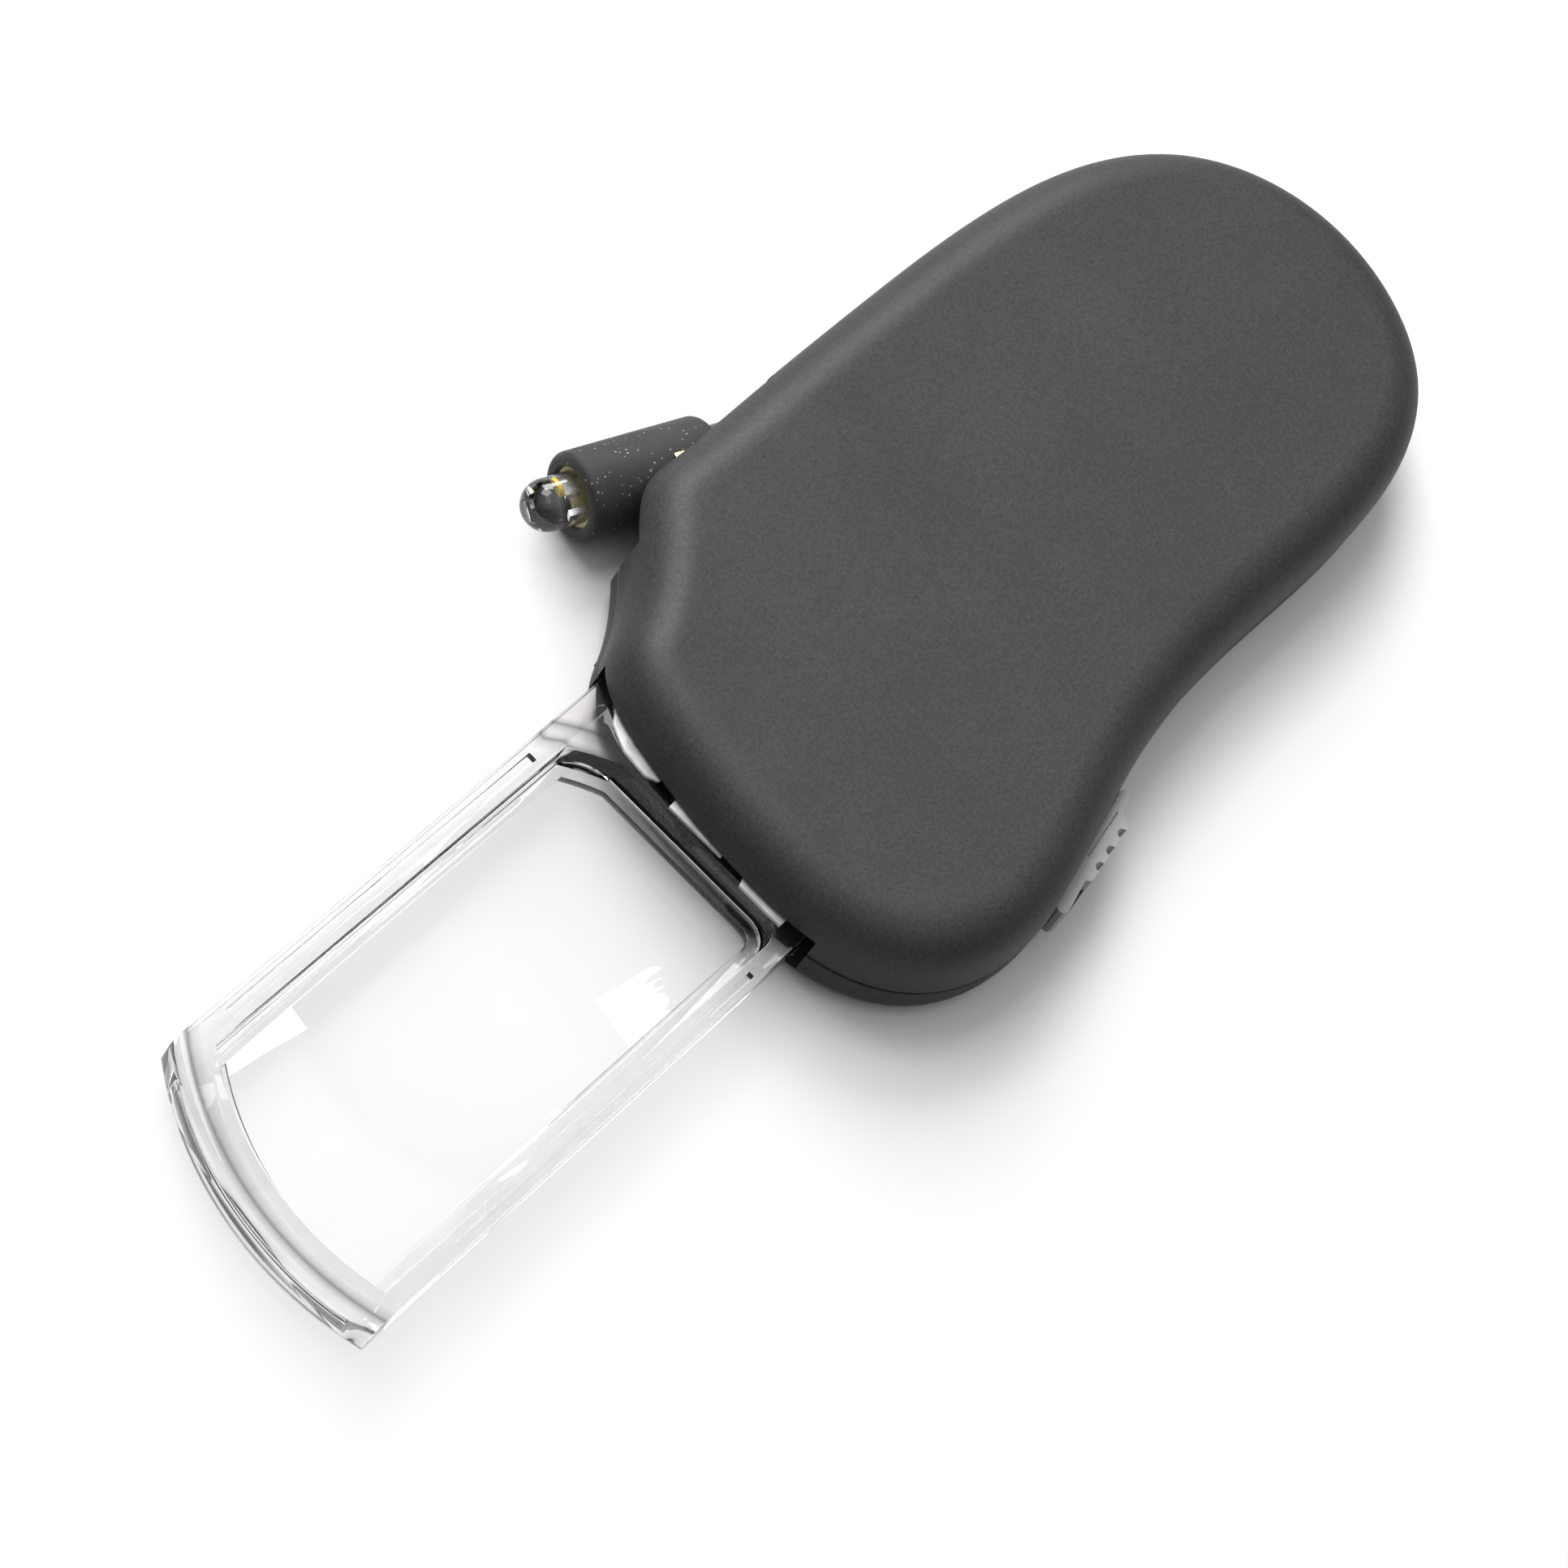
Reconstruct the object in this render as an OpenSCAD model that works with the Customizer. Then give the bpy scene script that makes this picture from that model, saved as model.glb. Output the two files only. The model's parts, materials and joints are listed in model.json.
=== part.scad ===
// Slide-out pocket magnifier with a swing-out lamp.
// +Z is up and the case lies on its flat underside at Z = 0. The lens slides out towards -X.
// The lamp is on the +Y side and the lamp switch on the -Y side.

/* [Case] */
// Height of the closed case
case_height = 12.5; // [12.2:0.1:13]
// Height of the seam between the lower and the upper shell
seam_height = 4.8; // [4.6:0.1:5]
// Radius of the upper shell's rounded edge
top_round = 5; // [4:0.1:5]
// Radius of the lower shell's rounded edge
bottom_round = 3; // [2:0.1:3]
// Thickness of the upper shell's side wall
wall = 1.6; // [1.4:0.1:1.8]
// Thickness of the lower shell's floor
floor_thickness = 1.3; // [1.2:0.1:1.3]

/* [Lens slide] */
// Width of the clear lens carrier
carrier_width = 29.4; // [28:0.1:29.6]
// Height of the clear lens carrier
carrier_height = 4.7; // [4.4:0.1:4.8]
// How far the lens slides into the case
slide_travel = 56; // [40:1:56]
// Thickness of the lens at its centre
lens_thickness = 4.3; // [3.6:0.1:4.4]

/* [Lamp] */
// Diameter of the rubber lamp sleeve
sleeve_diameter = 8.6; // [8.2:0.1:8.6]
// Angle of the lamp from the +X axis in the pose shown
lamp_angle = 160; // [156:1:162]
// Diameter of the light-emitting diode
led_diameter = 5; // [4.8:0.1:5]
// Diameter of the hollow pivot rivet
pivot_diameter = 2.5; // [2.4:0.1:2.6]

/* [Switch] */
// Length of the switch knob's skirt
knob_length = 15.7; // [15.2:0.1:15.8]
// How far the knob slides to switch the lamp on
knob_travel = 2.5; // [1.5:0.1:2.5]

/* [Battery] */
// Diameter of one coin cell
cell_diameter = 20; // [20:0.1:20.2]
// Thickness of one coin cell
cell_thickness = 1.6; // [1.4:0.1:1.6]

/* [Hidden] */
$fn = 48;
far = 100;
gap = 0.3;

// Case outline: control points of a closed smooth curve, counter-clockwise from the mouth.
case_points = [[-23.5, -4], [-24, -20], [-16, -30], [-1.5, -31.5], [14.5, -24.8],
               [36.5, -23], [56.3, -24.5], [75.9, -20.3], [83.5, -1], [76.2, 16.2],
               [58.5, 23.7], [30.5, 24.1], [16, 24.1], [4, 23.8], [-2.5, 24.4],
               [-7.5, 19.2], [-14, 14.8], [-20.4, 13.2]];
curve_steps = 6;

// Shells
rim_clearance = 0.25;
tongue_inset = wall + 0.15;
tongue_thickness = 0.85;
tongue_top = seam_height + 1;
ceiling = case_height - 1.5;
ceiling_inset = 3.2;
shoulder = 8.5;

// Mouth that the carrier slides through
mouth_low = -17.7;
mouth_high = 13.4;
mouth_top = 7.2;
mouth_back = -12;

// Lens carrier
carrier_floor = floor_thickness + 0.4;
carrier_top = carrier_floor + carrier_height;
carrier_centre = -1.9;
carrier_side = carrier_width / 2;
carrier_tail = -8;
end_centre = [-49.5, -7.5];
end_radius = 32.7;
window_low = -14.8;
window_high = 10.2;
window_back = -23.5;
window_bezel = 3.6;
window_corner = 3;
ledge = 1.3;
ledge_top = 2.9;
flange_top = 3.8;
lens_curve = 150;
lug_length = 3;
lug_height = 0.7;
stop_face = carrier_tail - lug_length - gap;
rail_end = carrier_tail + slide_travel - 1;
rail_top = 6.4;
tab_height = 0.4;

// Lamp
pivot = [12.7, 21.1];
lamp_height = 4.7;
sleeve_radius = sleeve_diameter / 2;
sleeve_back = 4.2;
sleeve_front = 19.3;
sleeve_bore = 3;
arm_low = floor_thickness + gap;
pocket_top = 9.3;
arm_top = pocket_top - gap;
knuckle_radius = 2.4;
led_radius = led_diameter / 2;
led_dome = 21.8;
led_flange = 16.2;
lead_radius = 0.25;
lead_offset = 1.27;
pivot_radius = pivot_diameter / 2;
lamp_fold = 10;
lamp_open = 80;
pocket_side = sleeve_radius + 0.5;

// Switch
knob_place = [6.3, -28.3];
knob_angle = 14;
knob_low = 3.6;
knob_high = 7.4;
knob_left = -8.3;
board_low = 2.4;
board_high = 3.2;
can_back = 7;
can_front = 3.4;
can_half = 4.4;
can_top = 7.4;
sheet = 0.3;

// Battery bay
bay = [64, -0.5];
cap_radius = 11.6;
cap_low = 0.2;
cap_inner = 2.2;
cell_floor = 2.5;
cell_radius = cell_diameter / 2;
cell_top = cell_floor + 2 * cell_thickness;
bay_radius = 12.95;
bay_wall = 1;
bay_top = 5.8;
lug_turn = 40;

// Screws
screw_places = [[-11, -23], [30, 18.5], [58, 17], [61, -18]];
screw_head = 1.9;
screw_shank = 0.95;

// A point of the smooth curve: span i of the control points p, at u from 0 to 1.
function curve_at(p, i, u) =
    let (n = len(p), a = p[i], b = p[(i + 1) % n], c = p[(i + 2) % n], d = p[(i + 3) % n])
    (pow(1 - u, 3) * a + (3 * pow(u, 3) - 6 * u * u + 4) * b
     + (1 + 3 * u + 3 * u * u - 3 * pow(u, 3)) * c + pow(u, 3) * d) / 6;

// The curve's direction at the same place.
function heading_at(p, i, u) =
    let (n = len(p), a = p[i], b = p[(i + 1) % n], c = p[(i + 2) % n], d = p[(i + 3) % n],
         h = (4 * u - 3 * u * u) * -b - pow(1 - u, 2) * a
             + (1 + 2 * u - 3 * u * u) * c + u * u * d)
    h / norm(h);

// The case outline moved inwards by inset.
function outline(inset) =
    [for (i = [0:len(case_points) - 1], k = [0:curve_steps - 1])
        let (u = k / curve_steps, h = heading_at(case_points, i, u))
        curve_at(case_points, i, u) - inset * [h[1], -h[0]]];

// A solid through outlines, each given as [inset, height], from the bottom up.
module loft(levels) {
    n = len(outline(0));
    m = len(levels);
    points = [for (l = levels, q = outline(l[0])) [q[0], q[1], l[1]]];
    sides = [for (j = [0:m - 2], i = [0:n - 1])
        [j * n + i, (j + 1) * n + i, (j + 1) * n + (i + 1) % n, j * n + (i + 1) % n]];
    bottom = [for (i = [0:n - 1]) i];
    top = [for (i = [n - 1:-1:0]) (m - 1) * n + i];
    polyhedron(points, concat(sides, [bottom, top]));
}

// A straight-walled slab of the case outline.
module slab(inset, low, high) {
    translate([0, 0, low])
        linear_extrude(high - low)
            polygon(outline(inset));
}

module box(low, high) {
    translate(low) cube(high - low);
}

// A rod with round corners along a route: eight sides, one ring at each point.
module wire(route, radius) {
    n = len(route);
    ahead = [for (i = [0:n - 1]) route[min(i + 1, n - 1)] - route[max(i - 1, 0)]];
    rings = [for (i = [0:n - 1])
        let (t = ahead[i] / norm(ahead[i]),
             s = abs(t[2]) < 0.9 ? cross(t, [0, 0, 1]) : cross(t, [0, 1, 0]),
             a = s / norm(s), b = cross(t, a))
        for (k = [0:7]) route[i] + radius * (cos(45 * k) * a + sin(45 * k) * b)];
    sides = [for (j = [0:n - 2], k = [0:7])
        [j * 8 + k, j * 8 + (k + 1) % 8, (j + 1) * 8 + (k + 1) % 8, (j + 1) * 8 + k]];
    first = [for (k = [7:-1:0]) k];
    last = [for (k = [0:7]) (n - 1) * 8 + k];
    polyhedron(rings, concat(sides, [first, last]));
}

// Local frames
module at_lamp() {
    translate([pivot[0], pivot[1], 0]) rotate(lamp_angle) children();
}

module at_knob() {
    translate([knob_place[0], knob_place[1], 0]) rotate(knob_angle) children();
}

module at_bay() {
    translate([bay[0], bay[1], 0]) children();
}

// A rod along the lamp, from one distance from the pivot to another.
module lamp_rod(from, to, radius) {
    translate([from, 0, lamp_height]) rotate([0, 90, 0]) cylinder(h = to - from, r = radius);
}

// Plan of the space that the lamp swings through, with a margin.
function toward(angle) = [cos(angle), sin(angle)];

module swing_plan(margin) {
    fold = lamp_angle + lamp_fold;
    open = lamp_angle - lamp_open;
    reach = pocket_side + margin;
    inner = pivot + reach * toward(fold + 90);
    outer = pivot + reach * toward(open - 90);
    polygon([pivot, inner, inner + 22 * toward(fold), [-12, 34], [24, 34],
             outer + 13 * toward(open), outer]);
}

module lamp_space() {
    difference() {
        translate([0, 0, -1]) linear_extrude(pocket_top + 1) swing_plan(0);
        translate([pivot[0], pivot[1], -2])
            cylinder(h = 2 + floor_thickness, r = knuckle_radius - 0.1);
    }
    translate([pivot[0], pivot[1], floor_thickness])
        cylinder(h = pocket_top - floor_thickness, r = knuckle_radius + 0.5);
}

module lamp_wall_plan(margin) {
    swing_plan(margin);
    translate(pivot) circle(r = knuckle_radius + 0.5 + margin);
}

module lamp_space_wall(low, high) {
    intersection() {
        slab(wall, low, high);
        translate([0, 0, low]) linear_extrude(high - low) lamp_wall_plan(0.9);
    }
}

// Recess in the case's side for the knob, and the slot that its stem slides in.
module knob_recess() {
    at_knob() {
        box([knob_left - knob_travel - 0.5, -3, knob_low - 0.4],
            [knob_left + knob_length + gap, 0.45, far]);
        box([-2.2 - knob_travel, -3, 4.5], [2.2, 3.2, 7.3]);
    }
}

module lower_case() {
    color([0.28, 0.28, 0.3])
    difference() {
        union() {
            difference() {
                union() {
                    loft([[bottom_round, 0],
                          for (a = [15:15:90])
                              [bottom_round * (1 - sin(a)), bottom_round * (1 - cos(a))],
                          [0, seam_height - rim_clearance]]);
                    difference() {
                        slab(tongue_inset, seam_height - 1, tongue_top);
                        translate([0, 0, seam_height - rim_clearance])
                            linear_extrude(far) lamp_wall_plan(1.2);
                    }
                }
                slab(tongue_inset + tongue_thickness, floor_thickness, tongue_top + 1);
                box([-40, mouth_low, floor_thickness], [mouth_back, mouth_high, far]);
            }
            lamp_space_wall(floor_thickness - 0.3, seam_height - rim_clearance);
            carrier_guides();
            screw_posts();
            battery_wall();
            board_posts();
        }
        lamp_space();
        knob_recess();
        translate([pivot[0], pivot[1], -1]) cylinder(h = 4, r = pivot_radius + 0.02);
        translate([pivot[0], pivot[1], -1]) cylinder(h = 1.65, r = 2.1);
        for (s = screw_places) translate([s[0], s[1], -1]) {
            cylinder(h = 7, r = screw_shank + 0.2);
            cylinder(h = 2.8, r = screw_head + 0.2);
        }
        cap_opening();
    }
}

// Ribs that guide the carrier; near the mouth they close in and stop its tail lugs.
module carrier_guides() {
    low = floor_thickness - 0.2;
    side_low = carrier_centre - carrier_side;
    side_high = carrier_centre + carrier_side;
    box([stop_face, side_high + 1.2, low], [rail_end, side_high + 2.2, rail_top]);
    box([stop_face, side_low - 2.2, low], [rail_end, side_low - 1.2, rail_top]);
    intersection() {
        slab(wall + 0.5, low, rail_top);
        union() {
            box([-19, side_high + gap, low], [stop_face, side_high + 2.2, rail_top]);
            box([-19, side_low - 2.2, low], [stop_face, side_low - gap, rail_top]);
        }
    }
}

module screw_posts() {
    for (s = screw_places)
        translate([s[0], s[1], 0.5]) cylinder(h = seam_height - 0.7, r = 2.6);
}

module battery_wall() {
    at_bay() difference() {
        translate([0, 0, 1]) cylinder(h = bay_top - 1, r = bay_radius + bay_wall);
        cylinder(h = cell_floor + 0.1, r = bay_radius);
        cylinder(h = far, r = cell_radius + 0.35);
        box([-16, -2.5, cell_top], [-9, 2.5, far]);
        rotate(-130) box([9, -2.2, 3], [16, 2.2, far]);
    }
}

module board_posts() {
    at_knob() for (x = [-8.5, 7.2])
        translate([x, 5.4, 1]) cylinder(h = board_low - 1, r = 1.1);
}

// Round opening for the battery cap, with two notches that let its lugs in.
module cap_opening() {
    at_bay() {
        translate([0, 0, -1]) cylinder(h = 3, r = cap_radius + 0.2);
        intersection() {
            translate([0, 0, -1]) cylinder(h = 3, r = bay_radius);
            for (a = [0, 180]) rotate(a + lug_turn) box([9, -2.6, -1], [16, 2.6, 3]);
        }
    }
}

module upper_case() {
    color([0.3, 0.3, 0.32])
    difference() {
        union() {
            difference() {
                loft([[0, seam_height],
                      for (a = [0:15:90])
                          [top_round * (1 - cos(a)),
                           case_height - top_round + top_round * sin(a)]]);
                slab(wall, seam_height - 1, shoulder);
                slab(ceiling_inset, shoulder - 1, ceiling);
            }
            lamp_space_wall(seam_height, ceiling + 0.1);
            upper_posts();
            hold_down_ribs();
        }
        box([-40, mouth_low, -1], [mouth_back, mouth_high, mouth_top]);
        lamp_space();
        knob_recess();
        translate([pivot[0], pivot[1], pocket_top - 1]) cylinder(h = 2.5, r = pivot_radius + 0.02);
        at_lamp() leaf_seat();
        for (s = screw_places)
            translate([s[0], s[1], 0]) cylinder(h = 10.6, r = screw_shank + 0.02);
    }
}

module upper_posts() {
    for (s = screw_places)
        translate([s[0], s[1], seam_height]) cylinder(h = ceiling + 0.5 - seam_height, r = 2.4);
}

// Ribs under the ceiling that keep the carrier down, with a gap for the lamp wires.
module hold_down_ribs() {
    for (y = [carrier_centre - carrier_side + 0.2, carrier_centre + carrier_side - 1.2],
         x = [[-13, -2], [4, rail_end]])
        box([x[0], y, mouth_top], [x[1], y + 1, ceiling + 0.5]);
}

module case_screws() {
    color([0.7, 0.7, 0.72])
    for (s = screw_places) translate([s[0], s[1], 0]) difference() {
        union() {
            translate([0, 0, 0.5]) cylinder(h = 1.3, r = screw_head);
            translate([0, 0, 1.7]) cylinder(h = 8, r = screw_shank);
        }
        for (a = [0, 90]) rotate(a) box([-1.1, -0.22, 0.4], [1.1, 0.22, 1.1]);
    }
}

module battery_cap() {
    color([0.26, 0.26, 0.28])
    at_bay() difference() {
        union() {
            translate([0, 0, cap_low]) cylinder(h = cap_inner - cap_low, r = cap_radius);
            intersection() {
                translate([0, 0, floor_thickness + gap])
                    cylinder(h = cap_inner - floor_thickness - gap, r = bay_radius - 0.3);
                for (a = [0, 180]) rotate(a) box([9, -2.2, 0], [16, 2.2, 3]);
            }
        }
        box([-6, -0.8, -1], [6, 0.8, cap_low + 0.9]);
        difference() {
            translate([0, 0, -1]) cylinder(h = cap_low + 1.25, r = 10.2);
            translate([0, 0, -2]) cylinder(h = 6, r = 9.8);
        }
    }
}

module coin_cell() {
    cylinder(h = cell_thickness - 0.3, r = cell_radius);
    translate([0, 0, cell_thickness - 0.3]) cylinder(h = 0.28, r = cell_radius - 1.4);
}

module coin_cell_lower() {
    color([0.78, 0.78, 0.8]) at_bay() translate([0, 0, cell_floor]) coin_cell();
}

module coin_cell_upper() {
    color([0.8, 0.8, 0.82])
        at_bay() translate([0, 0, cell_floor + cell_thickness]) coin_cell();
}

// Leaf across the top of the cells, held in the bay wall's notch.
module contact_negative() {
    color([0.85, 0.72, 0.35]) at_bay() {
        box([-14.4, -2, cell_top + 0.35], [-1, 2, cell_top + 0.65]);
        translate([-1.5, 0, cell_top + 0.02]) cylinder(h = 0.5, r = 1.4);
        box([-14.4, -2, cell_floor + 0.5], [-14.1, 2, cell_top + 0.65]);
    }
}

// Leaf beside the cells' rims.
module contact_positive() {
    color([0.85, 0.72, 0.35]) at_bay() rotate(-130) {
        box([cell_radius + 0.03, -2, cell_floor + 0.6], [cell_radius + 0.33, 2, cell_top + 0.4]);
        box([cell_radius + 0.03, -2, cell_top + 0.1], [13.4, 2, cell_top + 0.4]);
    }
}

module circuit_board() {
    color([0.1, 0.4, 0.2])
    at_knob() difference() {
        box([-9.8, can_front, board_low], [8.4, can_back + 0.5, board_high]);
        for (x = [-8.5, 7.2]) translate([x, 5.4, 0]) cylinder(h = 9, r = 0.4);
    }
}

module resistor() {
    color([0.1, 0.1, 0.1])
    at_knob() box([4.7, 3.8, board_high], [6.5, 5, board_high + 0.55]);
}

module switch_can() {
    color([0.75, 0.75, 0.77])
    at_knob() difference() {
        box([-can_half, can_front, board_high], [can_half, can_back, can_top]);
        box([-can_half + sheet, can_front + sheet, board_high - 1],
            [can_half - sheet, can_back - sheet, can_top - sheet]);
        box([-3.6, can_front - 1, 5], [1.4, can_front + 1, 7]);
    }
}

module switch_base() {
    color([0.15, 0.13, 0.12])
    at_knob() box([-can_half + sheet, can_front + sheet, board_high],
                  [can_half - sheet, can_back - sheet, board_high + 1.2]);
}

module switch_actuator() {
    color([0.12, 0.12, 0.12])
    at_knob() {
        box([-0.7, 1.5, 5.3], [0.7, can_front + 0.5, 6.7]);
        box([-0.7, can_front + 0.5, board_high + 1.5], [0.7, can_back - 1, 6.7]);
    }
}

// Skirt with a notched thumb pad that runs out to a wedge, and the stem that moves the switch.
module switch_knob() {
    right = knob_left + knob_length;
    color([0.55, 0.56, 0.57])
    at_knob() difference() {
        union() {
            translate([0, 0, knob_low]) linear_extrude(knob_high - knob_low) {
                polygon([[knob_left, -0.1], [knob_left, -0.6], [knob_left + 0.5, -0.95],
                         [right - 0.4, -0.85], [right, -0.5], [right, -0.05],
                         [right - 0.4, 0.25], [knob_left + 0.3, 0.25]]);
                polygon([[5.1, -0.8], [4.3, -2.04], [-3.5, -1.5], [-3.9, -0.8]]);
            }
            translate([0, 0, knob_low + 0.2]) linear_extrude(1.8)
                polygon([[-3.4, -0.8], [-3.4, -1.5], [-6.3, -1.25], [-6.5, -0.8]]);
            box([-1.9, -0.5, 4.9], [1.9, 2.9, 7.1]);
        }
        for (p = [[2.98, -1.8], [0.62, -1.64], [-1.58, -1.5]])
            translate([p[0], p[1] - 0.1, knob_low - 1]) cylinder(h = 9, r = 0.55, $fn = 24);
        box([-0.8, 1.4, 4.8], [0.8, 3.5, 7.2]);
    }
}

battery_route_red = [[54.5, -12, 5.7], [53.5, -14, 4.4], [51, -17, 2.6], [46, -19.9, 2.1],
                     [38, -19.9, 2.1], [30, -19.9, 2.1], [22, -20, 2.1], [16.5, -20.1, 2.6],
                     [14.2, -20.2, 3.8], [12, -20.5, 3.8]];
battery_route_black = [[49.05, -0.5, 3.4], [49.3, -4, 3.4], [49.3, -12, 3.4], [49.2, -17, 3.6],
                       [48.3, -20, 3.6], [43, -19.9, 3.6], [34, -19.9, 3.6], [24, -20.1, 3.6],
                       [18, -21.6, 3.9], [12.6, -22.4, 3.8]];
lamp_route_red = [[-1.6, -25.3, 3.8], [-2.4, -24, 6], [-1, -21, 8.6], [1, -17, 9.8],
                  [1.4, -8, 10.2], [1.4, 4, 10.2], [1.4, 12, 10.2], [3.6, 16, 10.2]];
lamp_route_black = [[-3.4, -25.9, 3.8], [-4, -24, 6], [-2.6, -21, 8.6], [-0.6, -17, 9.8],
                    [-0.2, -8, 10.2], [-0.2, 4, 10.2], [-0.2, 12, 10.2], [2, 16.4, 10.2]];

module battery_wire_red() {
    color("red") wire(battery_route_red, 0.5);
}

module battery_wire_black() {
    color([0.05, 0.05, 0.05]) wire(battery_route_black, 0.5);
}

module lamp_wire_red() {
    color("red") wire(lamp_route_red, 0.4);
}

module lamp_wire_black() {
    color([0.05, 0.05, 0.05]) wire(lamp_route_black, 0.4);
}

// Hollow rivet that the lamp turns on; the lamp's wires run through it.
module lamp_pivot_rivet() {
    color([0.8, 0.65, 0.3])
    translate([pivot[0], pivot[1], 0]) difference() {
        union() {
            translate([0, 0, 0.15]) cylinder(h = 10.35, r = pivot_radius);
            translate([0, 0, 0.15]) cylinder(h = 0.45, r = 2);
        }
        translate([0, 0, -1]) cylinder(h = 20, r = 0.75);
    }
}

// Seat in the roof over the lamp, and the leaf spring in it.
module leaf_seat() {
    box([4.2, 0.1, pocket_top - 1], [10.7, 2.1, pocket_top + 0.3]);
}

module lamp_leaf_spring() {
    color([0.85, 0.7, 0.3])
    at_lamp() box([4.6, 0.3, pocket_top - 0.15], [10.4, 1.9, pocket_top + 0.1]);
}

// Plan of the carrier, cut by the round grip end; grow moves its edges outwards.
module carrier_plan(grow) {
    side = carrier_side + grow;
    intersection() {
        translate([-85, carrier_centre - side]) square([85 + carrier_tail, 2 * side]);
        union() {
            translate(end_centre) circle(r = end_radius + grow, $fn = 180);
            translate([-48, -40]) square([60, 80]);
        }
    }
}

// Window in the carrier: the grip end is round and the other corners have a radius.
module window_plan(inset) {
    r = window_corner - inset;
    low = window_low + inset;
    high = window_high - inset;
    back = window_back - inset;
    intersection() {
        translate(end_centre) circle(r = end_radius - window_bezel - inset, $fn = 180);
        union() {
            translate([-85, low]) square([85 + back - r, high - low]);
            translate([-85, low + r]) square([85 + back, high - low - 2 * r]);
            translate([back - r, low + r]) circle(r = r);
            translate([back - r, high - r]) circle(r = r);
        }
    }
}

module lens_carrier() {
    side_low = carrier_centre - carrier_side;
    side_high = carrier_centre + carrier_side;
    color([0.85, 0.87, 0.88, 0.4])
    difference() {
        union() {
            translate([0, 0, carrier_floor]) linear_extrude(carrier_height) carrier_plan(0);
            box([carrier_tail - lug_length, side_low - lug_height, carrier_floor + 0.4],
                [carrier_tail, side_high + lug_height, carrier_top - 0.6]);
            translate([0, 0, carrier_top - 0.2]) linear_extrude(0.2 + tab_height) stop_tabs();
        }
        translate([0, 0, ledge_top]) linear_extrude(far) window_plan(0);
        translate([0, 0, -1]) linear_extrude(far) window_plan(ledge);
        box([-69.5, side_high - 1.8, carrier_top - 0.8], [-29.5, side_high - 0.9, far]);
        box([-69.5, side_low + 0.5, carrier_top - 0.8], [-29.5, side_low + 1.1, far]);
    }
}

// Raised tabs beside the window that take up play under the mouth's lip.
module stop_tabs() {
    translate([-20.4, 6]) circle(r = 1.6);
    translate([-18.6, 9.4]) circle(r = 1.4);
    polygon([[-22, 6], [-21.6, 5], [-18, 4.6], [-17.2, 9.4], [-18.6, 10.8], [-20, 9.8]]);
    translate([-22.3, -6]) square([4.3, 6]);
    translate([-22.5, -14]) square([4.5, 5.4]);
}

module magnifying_lens() {
    mid = carrier_floor + 0.2;
    color([0.92, 0.94, 0.95, 0.35]) {
        translate([0, 0, ledge_top]) linear_extrude(flange_top - ledge_top) window_plan(0.1);
        intersection() {
            translate([0, 0, -1]) linear_extrude(20) window_plan(ledge + 0.1);
            translate([-50, -2.3, mid + lens_thickness - lens_curve])
                sphere(r = lens_curve, $fn = 400);
            translate([-50, -2.3, mid + lens_curve]) sphere(r = lens_curve, $fn = 400);
        }
    }
}

// Core of the lamp and the knuckle that turns on the rivet.
module lamp_arm() {
    color([0.12, 0.12, 0.12])
    at_lamp() difference() {
        union() {
            translate([0, 0, arm_low]) cylinder(h = arm_top - arm_low, r = knuckle_radius);
            lamp_rod(1, led_flange - 0.4, sleeve_bore - 0.05);
        }
        cylinder(h = far, r = pivot_radius + 0.06);
        box([1, -lead_offset - 0.5, lamp_height - 0.4],
            [far, lead_offset + 0.5, lamp_height + 0.4]);
    }
}

module lamp_sleeve() {
    edge = 0.7;
    color([0.1, 0.1, 0.1])
    at_lamp() translate([0, 0, lamp_height]) rotate([0, 90, 0]) rotate_extrude()
        polygon([[sleeve_bore, sleeve_back], [sleeve_radius - 1, sleeve_back],
                 for (a = [15:15:90])
                     [sleeve_radius - 1 + sin(a), sleeve_back + 1 - cos(a)],
                 for (a = [0:15:90])
                     [sleeve_radius - edge * (1 - cos(a)),
                      sleeve_front - edge * (1 - sin(a))],
                 [sleeve_bore, sleeve_front]]);
}

module led_collar() {
    color([0.9, 0.85, 0.6])
    at_lamp() difference() {
        lamp_rod(led_flange + 1, sleeve_front - 0.5, sleeve_bore - 0.02);
        lamp_rod(led_flange, sleeve_front, led_radius + 0.02);
    }
}

// The two leads with their cup and post, as cast into the bulb.
module lead_frame() {
    for (y = [-lead_offset, lead_offset]) translate([0, y, 0])
        lamp_rod(4.4, led_flange + 2.6, lead_radius);
    translate([led_flange + 2.4, -lead_offset - 0.25, lamp_height - 0.3])
        cube([1.6, 1.4, 0.6]);
    translate([led_flange + 2.4, lead_offset - 0.35, lamp_height - 0.3])
        cube([1.9, 0.6, 0.6]);
}

module chip_dot() {
    translate([0, -0.8, 0]) lamp_rod(led_flange + 4, led_flange + 4.5, 0.55);
}

module led_bulb() {
    color([0.9, 0.9, 0.85, 0.5])
    at_lamp() difference() {
        union() {
            lamp_rod(led_flange, led_flange + 1, sleeve_bore - 0.1);
            lamp_rod(led_flange, led_dome, led_radius);
            translate([led_dome, 0, lamp_height]) sphere(r = led_radius);
        }
        lead_frame();
        chip_dot();
    }
}

module led_leads() {
    color([0.75, 0.75, 0.77]) at_lamp() lead_frame();
}

module led_chip() {
    color([0.95, 0.8, 0.2]) at_lamp() chip_dot();
}

lower_case();
upper_case();
case_screws();
battery_cap();
coin_cell_lower();
coin_cell_upper();
contact_negative();
contact_positive();
circuit_board();
resistor();
switch_can();
switch_base();
switch_actuator();
switch_knob();
battery_wire_red();
battery_wire_black();
lamp_wire_red();
lamp_wire_black();
lamp_pivot_rivet();
lamp_leaf_spring();
lens_carrier();
magnifying_lens();
lamp_arm();
lamp_sleeve();
led_collar();
led_bulb();
led_leads();
led_chip();
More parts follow.
